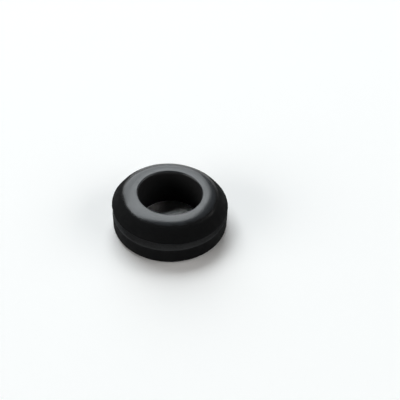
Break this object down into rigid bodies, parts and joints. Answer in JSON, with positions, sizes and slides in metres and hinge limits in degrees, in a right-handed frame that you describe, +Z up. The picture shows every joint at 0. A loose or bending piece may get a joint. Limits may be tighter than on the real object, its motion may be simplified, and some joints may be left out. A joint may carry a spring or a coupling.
{
  "type": "rubber grommet",
  "caption": "Black rubber panel grommet: a ring with a bevelled lead flange, a panel groove, a straight-sided back flange and a straight wire hole.",
  "frame": {"origin": "middle of the underside of the back flange, on the wire hole's axis, level with the surface that the grommet lies on", "axes": "+Z up along the wire hole, from the back flange to the bevelled lead flange; the ring is the same all the way round Z"},
  "size_m": [0.0184, 0.0184, 0.0068],
  "materials": {
    "rubber": "moulded black rubber, satin, with a fine grain"
  },
  "bodies": {
    "root": {"grommet": "rubber"}
  },
  "joints": []
}
